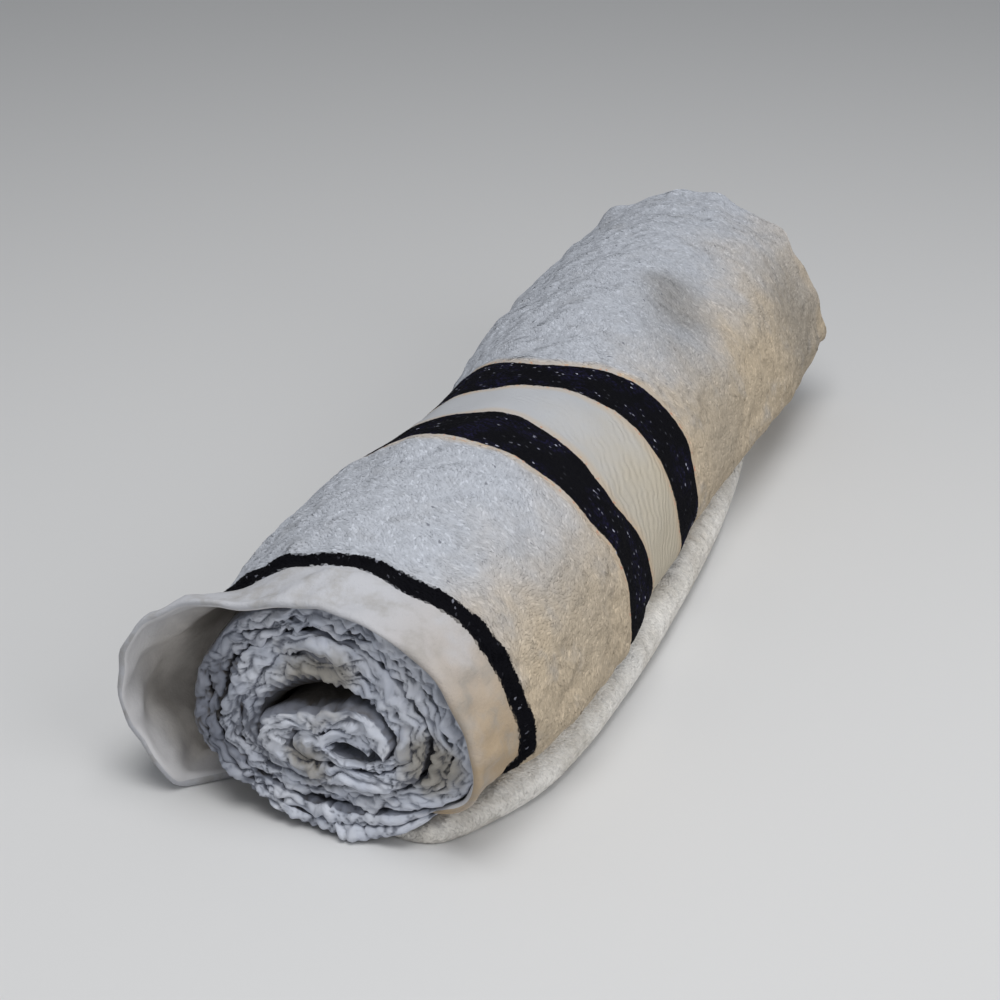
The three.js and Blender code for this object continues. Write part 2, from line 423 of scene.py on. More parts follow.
# Noise of the sheet's two faces: height, size and shift of each wave
LUMPS = ((1.9, 46, 0), (1.6, 21, 3.1))
PUCKERS = ((2, 26, 5.5), (1, 8, 2.5))
LONG_FOLDS = ((2.6, 22, 9.3),)
SHORT_FOLDS = ((1.2, 10, 1.3),)
FURROWS = ((1.3, 6.5, 4.4),)
LIP_LUMPS = ((1, 17, 2.4),)
RIM_WAVES_OUT = ((2.2, 15, 6.1),)
RIM_WAVES_ALONG = ((2.4, 19, 3.7),)
SMALL_LUMPS = (10.5, 7.7)
FOLD_STRETCH = np.array([1, 1, 0.5])
FURROW_STRETCH = np.array([0.35, 1, 0.35])

# The hem's drag lines, the lip's crumpled near end and the waves of the near rim
HEM_DRAG = 3
DRAG_AROUND = 10
DRAG_ALONG = 17
DRAG_LENGTH = 50
LIP_CRUMPLE = 1.2
LIP_CRUMPLE_REACH = 30
RIM_REACH = 15
RIM_STRETCH = np.array([1, 0.3, 1])
RIM_ROUND = np.array([1, 0, 1])

# How far the faces lie under the sheet's smooth form, how soft the weave's edges are, and how the
# relief fades to the sheet's edge
PILE_DROP = 0.8
WEAVE_DROP = 0.6
STRIPE_DROP = 0.3
PUCKER_DROP = 0.4
FURROW_DROP = 0.6
WOVEN_CALM = 0.7
WEAVE_EDGE = 4.5
STRIPE_EDGE = 1.5
SHEET_ROUND = 1.9
EDGE_FADE = 6
EDGE_LEFT = 0.2

# Where on the path the faces change, and over what span
RIGHT_SIDE_END = (RUN_START - 15, 15)
LINING_FOLDS_FROM = (FLAP_START, 40)
TIP_FADE = (RUN_END + 40, 50)
PILE_END = (FOOT_START + 20, 10)
LIP_PILE_START = (RUN_START, 10)
LIP_PILE_END = (LIP_END - 20, 20)
PLAIN_START = RUN_START - 8

# The sheet's path in steps of a degree, and how far round each step is at the roll's middle
PATH = np.arange(WRAP_START, LIP_END + 1.0)
MEASURED_AT = 203.0
AROUND = run_lengths(sheet_point(PATH, MEASURED_AT + 0 * PATH, 0 * PATH))


def zone(along, low, high, soft=1.0):
    return ease((along - low) / soft + 0.5) * (1 - ease((along - high) / soft + 0.5))


def sheet_relief(point, path, along, across, sizes):
    """How far a face stands over the sheet's smooth form: pile, weave, lumps and puckers."""
    outer = (1 - np.round(across)) * (1 - ramp(path, *RIGHT_SIDE_END))
    hem = 1 - ramp(along, HEM_WIDTH - HEM_STEP, HEM_STEP)
    woven = zone(along, LINES[0][0], LINES[-1][1], WEAVE_EDGE)
    small = sizes.lumps / MM * bumps(point, *SMALL_LUMPS)
    drop = -PILE_DROP - WEAVE_DROP * woven - STRIPE_DROP * zone(along, *PILE_STRIPE, STRIPE_EDGE)
    around = np.interp(path, PATH, AROUND)
    slant = around / DRAG_AROUND + along / DRAG_ALONG
    slant = np.stack([slant, along / DRAG_LENGTH, 0 * along + 0.5], -1)
    pucker = HEM_DRAG * bumps(slant, 1.0) + uneven(point, PUCKERS) - PUCKER_DROP
    right_side = blend(drop + uneven(point, LUMPS) + small * (1 - WOVEN_CALM * woven), pucker, hem)
    folds = uneven(point * FOLD_STRETCH, LONG_FOLDS) + uneven(point, SHORT_FOLDS)
    lining = folds * ramp(path, *LINING_FOLDS_FROM) - pucker * hem
    furrow = uneven(point * FURROW_STRETCH, FURROWS) + uneven(point, LIP_LUMPS) - FURROW_DROP
    furrow = furrow * (1 + LIP_CRUMPLE * bell(along / LIP_CRUMPLE_REACH))
    wrong_side = blend(lining, furrow, ramp(path, *RUN_BLEND)) * np.round(across)
    edge = ease(np.minimum(along, LENGTH - along) / EDGE_FADE - SHEET_ROUND / EDGE_FADE + EDGE_LEFT)
    tip = 1 - ramp(path, *TIP_FADE)
    relief = outer * right_side + (1 - outer) * wrong_side
    return relief * edge * tip * ramp(path, *WRAP_BLEND)


def has_pile(path, along, across):
    """1 where pile stands on a face, 0 on the hem, the flat band and the flap's inside."""
    terry = zone(along, PILE_STRIPE[0], LINES[1][1]) + zone(along, LINES[2][0], 2 * LENGTH)
    on_wrap = ramp(path, *WRAP_BLEND) * (1 - ramp(path, *PILE_END))
    on_lip = ramp(path, *LIP_PILE_START) * (1 - ramp(path, *LIP_PILE_END))
    return np.where(across > 0.5, on_lip, terry * on_wrap)


# The wound turns: two plies of cloth side by side


# Stretches of the wound turns with a shape of their own, where the left side and the top get painted
# shade
# only: the middle angle and the reach either way, the last three of them on every turn
ARCH = (475, 60)
RIGHT_GAP = (712, 40)
ARCH_PLEATS = (475, 62)
RIM_PLEATS = (945, 70)
LOW_SIDE = (280, 52)
LEFT_SIDE = (185, 50)
TOP_SIDE = (100, 60)

# Where on the winding a stretch starts, and over what span
TONGUE_END = (340, 20)
CORE_END = (300, 80)
# The middle ring, the outer ring and the roofed stretch: where painted shade on the left side and the
# top starts
MIDDLE_RING = (450, 60)
OUTER_RING = (690, 60)
ROOFED_FROM = (740, 40)
DROOP_FROM = (850, 60)
WRAPPED_FROM = (640, 40)
WRAPPED_TO = (905, 30)
HELD_FROM = (985, 50)
TIP_BACK_FROM = (1012, 30)

# How much of the room within a turn is filled: at the core, in the arch and in the gap to the right
CORE_FILL = 0.8
ARCH_FILL = 0.17
GAP_FILL = 0.12
FILL_FROM = (5, 14)


def ply_levels(angle, along):
    """The inner and outer level of the wound strip, with room for the wrap where it starts."""
    reach = roll_reach(angle, along)
    wrap = ramp(angle, WRAP_START, WRAP_SPAN)
    within = np.where(angle < TURN, 0, wound_level(angle - TURN, along) + TURN_GAP / reach)
    inner = winding("level", angle) - winding("thick", angle)
    core = CORE_FILL * inner * (1 - ramp(angle, *TONGUE_END))
    filled = ARCH_FILL * hump(angle, *ARCH) + GAP_FILL * hump(angle, *RIGHT_GAP) + core
    inner = np.maximum(within, inner - filled * ramp(along, *FILL_FROM))
    outer = wound_level(angle, along) - wrap * (CLOTH + TURN_GAP) / reach
    return inner, np.maximum(outer, inner)


def edge_loop(rows, rounding, near_steps, far_steps):
    """A loop round a strip's thickness: places along it and across it, from the near edge round."""
    near = np.linspace(0, math.pi, near_steps + 2)[1:-1]
    far = np.linspace(0, math.pi, far_steps + 2)[1:-1]
    near_bulge, far_bulge = rounding * (1 - np.sin(near)), rounding * (1 - np.sin(far))
    along = np.concatenate([near_bulge, rows, LENGTH - far_bulge, rows[::-1]])
    across = np.concatenate([(1 + np.cos(near)) / 2, 0 * rows, (1 - np.cos(far)) / 2, 0 * rows + 1])
    return np.append(along, along[0]), np.append(across, across[0])


# Rows of the sheet's mesh: from, to and how many
SHEET_STRETCHES = ((SHEET_ROUND, 27, 11), (27, 36, 4), (36, 121, 18), (121, 239, 30), (239, 455, 36))
SHEET_ROWS = np.concatenate(
    [
        *(np.linspace(low, high, count, endpoint=False) for low, high, count in SHEET_STRETCHES),
        np.linspace(455, LENGTH - SHEET_ROUND, 6),
    ]
)
SHEET_STEP = 3.0
EDGE_STEPS = 5
PLY_ROUND = 2.8
PLY_ROWS = np.array([2.8, 5, 8, 12, 18, 30, 80, 250, 440, 457, 464.2])
PLY_EDGE_STEPS = (19, 11)
PLY_STEP = 1.0

# The cloth's parts, in the order of its finishes
STRIPED, PLAIN, LINING, RUFFLED = range(4)

# Ruffles: how deep they reach from either end, the room between two plies, where the strip's tips and
# its held stretch calm them, how they sway, and how the low side droops
RUFFLE_DEPTH = 16
FAR_SHARE = 1.6
FAR_START = 6
FAR_CALM = 0.45
FAR_HALF = (200, 60)
PLY_GAP = 0.35
EDGE_SWELL = 0.7
SWELL_REACH = 12
FIRST_TIP = 5
LAST_TIP = 14
LOOSE_FROM = 20
HELD_SHARE = 0.85
SWAYS = ((3.4, 17, 2.2), (1.2, 6.5, 8.1))
INWARD_SWAY = 0.8
DROOP = 6.5
DROOP_REACH = 14
FLOOR_GAP = 0.3

# How far a ply's near edge stands back or out: in its own waves, on the inner ply, at the core, on the
# low side and where the wrap takes over
STAGGER = 1.6
STAGGER_PITCH = 16
STAGGER_SHIFT = 4.7
INNER_BACK = 0.6
CORE_OUT = 3
LOW_OUT = 4
TIP_BACK = 5

# Folds, finer pleats and even ribs of the ruffles: pitches, drifts and heights
JAG = 1.6
JAG_PITCH = 9
JAG_DRIFT = 1.2
JAG_DRIFT_PITCH = 19
JAG_SHIFT = 3.1
FOLD_RUN = 14
FOLD_ACROSS = 4.2
FOLD_ALONG = 8
FOLD_SHIFT = 5.3
FOLD_DRIFT = ((0.35, 0.8, 5.5),)
FOLD_POWER = 0.8
FOLD_RISE = 2.1
PLEAT_STRETCH = np.array([3.0, 1.2, 1.6])
PLEAT_SHIFT = 3.3
PLEAT_SIDE = 0.8
PLEAT_RISE = 0.8
RIB_PITCH = 4.2
RIB_DRIFT = 0.4
RIB_DRIFT_SIZE = 2.0
RIB_RISE = 0.6
RIB_BASE = 0.3
RUFFLE_BASE = 0.9

# Painted shade on the ruffles: share and sharpness of the painted dark lines in folds and pleats, then
# the shares of painted shade in ribs, between two plies, at the core, under the outer turns and deep
# inside
FOLD_DARK = (0.8, 4.5)
PLEAT_DARK = (0.4, 5)
RIB_DARK = (0.35, 0.4)
BETWEEN_DARK = 0.8
BETWEEN_PLIES = (0.78, 0.22)
CORE_DARK = 0.12
ROOF_DARK = 0.15
DEEP_DARK = 3.2
DEEP_FROM = (5, 18)


def build_sheet(sizes):
    """The outer sheet's points, with their pattern place and the part of the cloth they are on."""
    along, across = (row[None, :] for row in edge_loop(SHEET_ROWS, SHEET_ROUND, EDGE_STEPS, EDGE_STEPS))
    steps = round(AROUND[-1] / SHEET_STEP)
    path = np.interp(np.linspace(0, AROUND[-1], steps), AROUND, PATH)[:, None]
    path, along, across = np.broadcast_arrays(path, along, across)
    smooth, out, _, _ = sheet_frame(path, along, across)
    face = (np.abs(across - 0.5) > 0.49) * 1.0
    relief = sheet_relief(smooth, path, along, across, sizes) - PILE_BED * has_pile(path, along, across)
    point = smooth + out * (relief * face)[..., None]
    rim = bell(along / RIM_REACH) * (1 - ramp(path, FOOT_START, FOOT_SPAN))
    _, outward, _, _ = sheet_frame(path, along, 0 * across)
    wave = uneven(smooth * RIM_STRETCH, RIM_WAVES_OUT) * rim
    point = point + outward * wave[..., None]
    point[..., 1] += uneven(smooth * RIM_ROUND, RIM_WAVES_ALONG) * rim
    point[..., 2] = np.maximum(point[..., 2], 0)
    around = np.interp(path, PATH, AROUND)
    part = np.where(path > PLAIN_START, PLAIN, np.where(across > 0.5, LINING, STRIPED))
    return point, around, along, across, part, 0 * around


def on_sheet(sheet, around, along, across):
    """Points on the sheet's mesh, between the points of its grid."""
    count = len(SHEET_ROWS)
    outer = sheet[:, EDGE_STEPS : EDGE_STEPS + count]
    inner = sheet[:, 2 * EDGE_STEPS + count : 2 * EDGE_STEPS + 2 * count][:, ::-1]
    face = inner if across else outer
    turn = around / AROUND[-1] * (len(sheet) - 1)
    row = np.interp(along, SHEET_ROWS, np.arange(count))
    turn_low = np.clip(turn.astype(int), 0, len(sheet) - 2)
    row_low = np.clip(row.astype(int), 0, count - 2)
    turn_share, row_share = (turn - turn_low)[:, None], (row - row_low)[:, None]
    low = blend(face[turn_low, row_low], face[turn_low, row_low + 1], row_share)
    high = blend(face[turn_low + 1, row_low], face[turn_low + 1, row_low + 1], row_share)
    return blend(low, high, turn_share)


def zigzag(run):
    """A wave of straight flanks from -1 to 1, one for each whole number."""
    return 4 * np.abs(run - np.floor(run + 0.5)) - 1


def strip_place(run, pitch, shift):
    """A place for noise that goes along a strip."""
    return np.stack([run / pitch, 0 * run + shift, 0 * run], -1)


def crumple(ply, run, along, across):
    """Folds, pleats and ribs on the edge of a ply, from its places in millimetres."""
    wander = JAG_DRIFT * bumps(strip_place(run, JAG_DRIFT_PITCH, JAG_SHIFT * ply), 1.0)
    across = across + JAG * zigzag(run / JAG_PITCH + wander)
    along = along / FOLD_ALONG + FOLD_SHIFT * ply
    spot = np.stack([run / FOLD_RUN, across / FOLD_ACROSS, along], -1)
    spot = spot + uneven(spot, FOLD_DRIFT)[..., None]
    fold = np.abs(bumps(spot, 1.0)) ** FOLD_POWER
    pleat = np.abs(bumps(spot * PLEAT_STRETCH, 1.0, PLEAT_SHIFT)) ** FOLD_POWER
    wander = RIB_DRIFT * bumps(spot, RIB_DRIFT_SIZE)
    rib = 0.5 - 0.5 * np.cos(math.tau * (run / RIB_PITCH + wander))
    return fold, pleat, rib


def dark_lines(mark, share, sharpness):
    """Painted shade lines along the places where a mark is near 0."""
    return share * np.maximum(1 - sharpness * mark, 0)


def hollow_shade(angle, turned, core):
    """Painted shade between two plies and in the hollows of the roll's end: the rings' left side, the
    top under the outer turns, and the core.
    """
    between = BETWEEN_DARK * ramp(np.abs(turned), *BETWEEN_PLIES)
    rings = (ramp(angle, *MIDDLE_RING) + ramp(angle, *OUTER_RING)) / 2
    shade = hump(angle % TURN, *LEFT_SIDE) * rings + CORE_DARK * core
    shade = shade + ROOF_DARK * hump(angle % TURN, *TOP_SIDE) * ramp(angle, *ROOFED_FROM)
    return between, shade


def build_ply(ply, sizes):
    """One ply of the wound turns, ruffled at its near edge and less so at its far one."""
    along, across = (row[None, :] for row in edge_loop(PLY_ROWS, PLY_ROUND, *PLY_EDGE_STEPS))
    turns = np.arange(0, PLY_END + 1.0)
    level = blend(*ply_levels(turns, 0 * turns), 0.25 + 0.5 * ply)
    lengths = run_lengths(np.stack(roll_point(turns, 0 * turns, level), -1))
    run = np.linspace(0, lengths[-1], round(lengths[-1] / PLY_STEP))[:, None]
    angle = np.interp(run, lengths, turns)
    angle, along, across, run = np.broadcast_arrays(angle, along, across, run)

    inner, outer = ply_levels(angle, along)
    reach = roll_reach(angle, along)
    deep = np.minimum(along, FAR_SHARE * (LENGTH - along))
    depth = np.minimum(along, FAR_SHARE * (LENGTH - along) + FAR_START)
    slack = (PLY_GAP - EDGE_SWELL * bell(depth / SWELL_REACH)) / reach
    low = blend(inner, outer, 0.5 * ply) + slack
    high = np.maximum(blend(inner, outer, 0.5 * ply + 0.5) - slack, low)
    tips = ease(run / FIRST_TIP) * ease((run[-1, 0] - run) / LAST_TIP)
    half = (high - low) / 2 * tips
    turned = 1 - 2 * across
    x, z = roll_point(angle, along, (low + high) / 2 + half * turned)
    radius, height = roll_size(angle, along)
    out = unit(np.stack([radius * cosine(angle), 0 * x, height * sine(angle)], -1))

    core = 1 - ramp(angle, *CORE_END)
    low_side = hump(angle % TURN, *LOW_SIDE) * ramp(angle, *DROOP_FROM)
    stagger = STAGGER * bumps(strip_place(run, STAGGER_PITCH, STAGGER_SHIFT * ply), 1.0)
    near = NEAR_RECESS + stagger + (1 - ply) * INNER_BACK
    near = near - CORE_OUT * core - LOW_OUT * low_side + TIP_BACK * ramp(angle, *TIP_BACK_FROM)
    far = FAR_RECESS + RIM_WAVE * sine(angle * RIM_WAVES)
    point = np.stack([x, ends_drawn_in(along, near, far), z], -1)

    ruffle = bell(depth / RUFFLE_DEPTH) * (1 - FAR_CALM * ramp(along, *FAR_HALF))
    loose = ruffle * ease(run / LOOSE_FROM) * (1 - HELD_SHARE * ramp(angle, *HELD_FROM))
    wrapped = ply * ramp(angle, *WRAPPED_FROM) * (1 - ramp(angle, *WRAPPED_TO))
    sway = uneven(point, SWAYS)
    sway = blend(sway, -INWARD_SWAY * np.abs(sway), wrapped)
    point = point + out * (sway * loose)[..., None]

    fold, pleat, rib = crumple(ply, run, along, half * reach * turned)
    pleated = hump(angle, *ARCH_PLEATS) * (1 - ply) * ease(-turned / PLEAT_SIDE)
    pleated = pleated + hump(angle, *RIM_PLEATS) * ply * ease(turned / PLEAT_SIDE)
    bulge = np.sqrt(np.maximum(1 - turned * turned, 0)) * np.where(along < LENGTH / 2, -1, 1)
    push = unit(out * turned[..., None] + np.array([0, 1.0, 0]) * bulge[..., None])
    push = push - out * (wrapped * np.maximum(turned, 0))[..., None]
    folded, ribbed = FOLD_RISE * fold + PLEAT_RISE * pleat, RIB_RISE * rib + RIB_BASE
    rise = blend(folded, ribbed, pleated) - RUFFLE_BASE
    point = point + push * (sizes.crinkle / MM * rise * loose * tips)[..., None]
    outward = (ply + (1 + turned * tips) / 2) / 2
    point[..., 2] -= DROOP * outward * low_side * bell(depth / DROOP_REACH)
    point[..., 2] = np.maximum(point[..., 2], FLOOR_GAP)

    # Painted shade: dark lines in folds, pleats and ribs, shade between plies, on the rings' left side
    # and top, at the core, and deep inside the turns
    lines = dark_lines(fold, *FOLD_DARK) + dark_lines(pleat, *PLEAT_DARK)
    lines = blend(lines, RIB_DARK[0] + RIB_DARK[1] * (1 - rib), pleated)
    between, shade = hollow_shade(angle, turned, core)
    crease_shade = (lines + between + shade) * ruffle + DEEP_DARK * ramp(deep, *DEEP_FROM)
    return point, run, along, across, 0 * x + RUFFLED, crease_shade


def cloth_mesh(name, strips, finishes):
    """Strips of cloth as one mesh: a grid for each, shaped, with its seam and tips merged."""
    grid = bmesh.new()
    for point, *_ in strips:
        steps, turns = point.shape[:2]
        bmesh.ops.create_grid(grid, x_segments=turns - 1, y_segments=steps - 1, size=1.0)
    mesh = bpy.data.meshes.new(name)
    grid.to_mesh(mesh)
    grid.free()
    point, around, along, across, part, crease_shade = (
        np.concatenate([strip[column].reshape(-1, *strip[column].shape[2:]) for strip in strips])
        for column in range(6)
    )
    set_points(mesh, point)
    place = np.stack([around * MM, along * MM, 0 * along + 0.5], -1)
    add_attribute(mesh, "place", "FLOAT_VECTOR", "vector", place)
    # Painted shade of the ruffles' creases and hollows, 0 on the sheet
    add_attribute(mesh, "crease_shade", "FLOAT", "value", crease_shade)
    corner = np.zeros(len(mesh.loops), np.int32)
    mesh.loops.foreach_get("vertex_index", corner)
    strip = np.repeat(range(len(strips)), [around.size for _, around, *_ in strips])
    sheet_map = np.stack([along / LENGTH * 0.5 + 0.5 * (across > 0.5), around], -1)
    for row in range(len(strips)):
        run = sheet_map[strip == row, 1]
        sheet_map[strip == row, 1] = (row + 0.01 + 0.98 * run / run.max()) / len(strips)
    add_bake_map(mesh, sheet_map[corner])
    kind = part[corner.reshape(-1, 4)].min(1).astype(np.int32)
    mesh.polygons.foreach_set("material_index", kind)
    mesh.polygons.foreach_set("use_smooth", np.ones(len(mesh.polygons), bool))
    for finish in finishes:
        mesh.materials.append(finish)
    cloth = bmesh.new()
    cloth.from_mesh(mesh)
    bmesh.ops.remove_doubles(cloth, verts=cloth.verts, dist=1e-6)
    bmesh.ops.recalc_face_normals(cloth, faces=cloth.faces)
    cloth.to_mesh(mesh)
    cloth.free()
    return mesh


def set_points(mesh, points):
    """Puts a mesh's points in place, from the roll's own frame."""
    mesh.vertices.foreach_set("co", ((points + ROLL_ORIGIN) * MM).astype(np.float32).ravel())


def add_attribute(mesh, name, kind, field, values):
    layer = mesh.attributes.new(name, kind, "POINT")
    layer.data.foreach_set(field, np.ascontiguousarray(values, np.float32).ravel())


def add_bake_map(mesh, flat):
    """A flat map for baking, with a place for each corner of each face."""
    layer = mesh.uv_layers.new(name="OFBake")
    layer.uv.foreach_set("vector", flat.astype(np.float32).ravel())


# Pile: thousands of short loops that lie over the cloth


# How deep the cloth lies under the loops, how round they look, how they stray and differ in size, how
# they swirl, and the clumps that they seem to stand in
PILE_BED = 0.06
LOOP_SHADING = 2.4
LOOP_STRAY = 0.6
LOOP_RANGE = (0.75, 1.25)
GIRDLE = 0.55
SWIRL_SIZE = 24.0
SWIRL_SHIFT = 11.0
SWIRL_STRAY = 0.27
SWIRL_TURN = 0.4
CLUMP_SIZE = 5.0
CLUMP_STEP = 0.5
CLUMP_SHIFT = 6.6


def loop_template():
    """One pile loop: a grain with a three-sided girdle and a point at each end, 1 long."""
    grain = bmesh.new()
    bmesh.ops.create_cone(grain, cap_ends=True, segments=3, radius1=0.5, radius2=0, depth=1)
    bmesh.ops.remove_doubles(grain, verts=grain.verts, dist=1e-5)
    ring = [vert for vert in grain.verts if vert.co.z < 0]
    flat = [face for face in grain.faces if all(vert in ring for vert in face.verts)]
    bmesh.ops.poke(grain, faces=flat)
    bmesh.ops.translate(grain, verts=ring, vec=(0, 0, GIRDLE))
    grain.verts.ensure_lookup_table()
    grain.faces.ensure_lookup_table()
    points = np.array([vert.co for vert in grain.verts])
    faces = np.array([[vert.index for vert in face.verts] for face in grain.faces])
    grain.free()
    return points, faces


def pile_places(low, high, path_low, path_high, spacing, random):
    """Places on the sheet about one spacing apart, each moved a little at random."""
    around_low, around_high = np.interp([path_low, path_high], PATH, AROUND)
    rows = np.arange(low + spacing / 2, high, spacing)
    turns = np.arange(around_low + spacing / 2, around_high, spacing)
    around, along = np.meshgrid(turns, rows)
    around = around + random.uniform(-LOOP_STRAY, LOOP_STRAY, around.shape) * spacing
    along = along + random.uniform(-LOOP_STRAY, LOOP_STRAY, along.shape) * spacing
    along = np.clip(along, low, high)
    return around.ravel(), along.ravel()


def loop_seats(spots, sizes):
    """Where loops sit, the ways out of the cloth, round it and along it, and the way they are lit."""
    sheet, around, along, across = spots
    path = np.interp(around, AROUND, PATH)
    face = 0 * along + across
    point, out, turnwise, length = sheet_frame(path, along, face)
    relief = sheet_relief(point, path, along, face, sizes)
    ahead = np.interp(around + 1, AROUND, PATH)
    turn_slope = sheet_relief(sheet_point(ahead, along, face), ahead, along, face, sizes) - relief
    long_slope = sheet_relief(sheet_point(path, along + 1, face), path, along + 1, face, sizes) - relief
    turn_slope, long_slope = turn_slope[:, None], long_slope[:, None]
    point = on_sheet(sheet, around, along, across) + out * PILE_BED
    out, turnwise, length = (
        unit(out - turnwise * turn_slope - length * long_slope),
        unit(turnwise + out * turn_slope),
        unit(length + out * long_slope),
    )
    clump = [
        sizes.clumps / MM * bumps(point + step, CLUMP_SIZE, CLUMP_SHIFT)[:, None]
        for step in (0 * out, turnwise * CLUMP_STEP, length * CLUMP_STEP)
    ]
    turn_slope, long_slope = ((high - clump[0]) / CLUMP_STEP for high in clump[1:])
    lit = unit(out - turnwise * turn_slope - length * long_slope)
    return point, out, turnwise, length, lit


def triangle_mesh(name, points, index):
    """Smooth triangles between points as a mesh."""
    mesh = bpy.data.meshes.new(name)
    mesh.vertices.add(points.size // 3)
    set_points(mesh, points)
    mesh.loops.add(index.size)
    mesh.loops.foreach_set("vertex_index", index.ravel())
    mesh.polygons.add(index.size // 3)
    mesh.polygons.foreach_set("loop_start", np.arange(0, index.size, 3, dtype=np.int32))
    mesh.polygons.foreach_set("use_smooth", np.ones(index.size // 3, bool))
    mesh.update(calc_edges=True)
    return mesh


def pile_mesh(name, spots, size, lean, swirl, calm, random, sizes):
    """Pile loops at places on the sheet, leaning in swirls, as one mesh."""
    _, around, along, _ = spots
    point, out, turnwise, length, lit = loop_seats(spots, sizes)
    inside = ease((np.minimum(along - along.min(), along.max() - along) - 1) / calm + 0.5 / calm)
    stray = random.normal(0, SWIRL_STRAY, len(along))
    swirl = swirl * inside * (bumps(point, SWIRL_SIZE, SWIRL_SHIFT) + stray + SWIRL_TURN)
    forward = turnwise * np.cos(swirl)[:, None] + length * np.sin(swirl)[:, None]
    sideways = unit(np.cross(out, forward))
    lean = np.radians(lean * random.normal(1, 1, len(along)))[:, None]
    ahead = forward * np.cos(lean) + out * np.sin(lean)
    up = np.cross(ahead, sideways)
    grain, faces = loop_template()
    long, wide, high = size
    scale = random.uniform(*LOOP_RANGE, (len(along), 1, 1))
    z = grain[None, :, 2:] * long * scale
    points = (
        point[:, None]
        + ahead[:, None] * z
        + sideways[:, None] * grain[None, :, :1] * wide * scale
        + up[:, None] * grain[None, :, 1:2] * high * scale
    )
    points[..., 2] = np.maximum(points[..., 2], 0)
    count, corners = points.shape[:2]
    index = (faces[None] + corners * np.arange(count)[:, None, None]).astype(np.int32)
    mesh = triangle_mesh(name, points, index)
    across_grain = sideways[:, None] * grain[None, :, :1] + up[:, None] * grain[None, :, 1:2]
    soft = unit(lit[:, None] + LOOP_SHADING * across_grain)
    mesh.normals_split_custom_set_from_vertices(soft.reshape(-1, 3))
    yarn = random.uniform(0, 1, (count, 1))
    place = np.stack([around * MM, along * MM], -1)
    place = np.concatenate([place, yarn], -1)[:, None].repeat(corners, 1)
    add_attribute(mesh, "place", "FLOAT_VECTOR", "vector", place)
    add_attribute(mesh, "crease_shade", "FLOAT", "value", np.zeros(count * corners))
    turned = np.stack([np.sin(swirl), np.cos(swirl)], -1)[:, None]
    spread = np.stack([along, around], -1)[:, None] + turned * z
    spread = spread + turned[..., ::-1] * np.array([1, -1]) * grain[None, :, :1] * wide * scale
    low, high = spread.min((0, 1)), spread.max((0, 1))
    add_bake_map(mesh, ((spread - low) / (high - low)).reshape(-1, 2)[index.ravel()])
    return mesh


# Finishes


def either_way(operation):
    """A sum's method, and the one with its two sides changed over."""
    return (
        lambda self, other: self.math(operation, self, other),
        lambda self, other: self.math(operation, other, self),
    )


class Wire:
    """A node's output that works in sums like a number."""

    def __init__(self, socket):
        self.socket = socket

    def math(self, operation, first, second):
        node = self.socket.id_data.nodes.new("ShaderNodeMath")
        node.operation = operation
        plug(node.inputs[0], first)
        plug(node.inputs[1], second)
        return Wire(node.outputs[0])

    __add__, __radd__ = either_way("ADD")
    __sub__, __rsub__ = either_way("SUBTRACT")
    __mul__, __rmul__ = either_way("MULTIPLY")


def plug(socket, value):
    """Sets a socket to a value, or links it."""
    if isinstance(value, Wire):
        socket.id_data.links.new(value.socket, socket)
    else:
        socket.default_value = value


class Finish:
    """A cloth finish: one Principled shader and the nodes before it."""

    def __init__(self, name):
        self.material = bpy.data.materials.new(name)
        self.material.use_nodes = True
        self.tree = self.material.node_tree
        self.tree.nodes.clear()
        output = self.tree.nodes.new("ShaderNodeOutputMaterial")
        self.shader = self.tree.nodes.new("ShaderNodeBsdfPrincipled")
        self.tree.links.new(self.shader.outputs[0], output.inputs["Surface"])

    def node(self, kind, settings=None, sockets=None, output=0):
        node = self.tree.nodes.new("ShaderNode" + kind)
        for name, value in (settings or {}).items():
            setattr(node, name, value)
        for name, value in (sockets or {}).items():
            plug(node.inputs[name], value)
        return Wire(node.outputs[output])

    def set(self, **sockets):
        for name, value in sockets.items():
            plug(self.shader.inputs[name.replace("_", " ")], value)

    def cloth(self, colour, roughness, normal):
        """The finished material of a dull cloth."""
        self.set(Base_Color=colour, Roughness=roughness, Normal=normal, Specular_IOR_Level=0.12)
        return self.material

    def attribute(self, name, output):
        return self.node("Attribute", {"attribute_name": name}, output=output)

    def place(self):
        """Round the roll, along it, and a yarn's own number."""
        vector = self.attribute("place", "Vector")
        return [self.node("SeparateXYZ", None, {"Vector": vector}, axis) for axis in range(3)]

    def where(self):
        return self.node("TexCoord", output="Object")

    def apart(self, first, second):
        sockets = {0: first, 1: second}
        return self.node("VectorMath", {"operation": "DISTANCE"}, sockets, "Value")

    def spots(self, vector, scale, detail=2.0):
        sockets = {"Vector": vector, "Scale": scale, "Detail": detail, "Roughness": 0.6}
        return self.node("TexNoise", None, sockets)

    def step(self, value, low, high):
        """0 under low, 1 over high, and smooth between."""
        return self.node(
            "MapRange",
            {"interpolation_type": "SMOOTHSTEP"},
            {"Value": value, "From Min": low, "From Max": high, "To Min": 0.0, "To Max": 1.0},
        )

    def between(self, value, low, high, soft):
        past = self.step(value, high - soft, high + soft)
        return self.step(value, low - soft, low + soft) * (1 - past)

    def mix(self, share, first, second, kind="MIX"):
        settings = {"data_type": "RGBA", "blend_type": kind}
        return self.node("Mix", settings, {0: share, 6: first, 7: second}, 2)

    def bump(self, height, strength, distance, normal=None):
        sockets = {"Height": height, "Strength": strength, "Distance": distance}
        if normal is not None:
            sockets["Normal"] = normal
        return self.node("Bump", None, sockets)


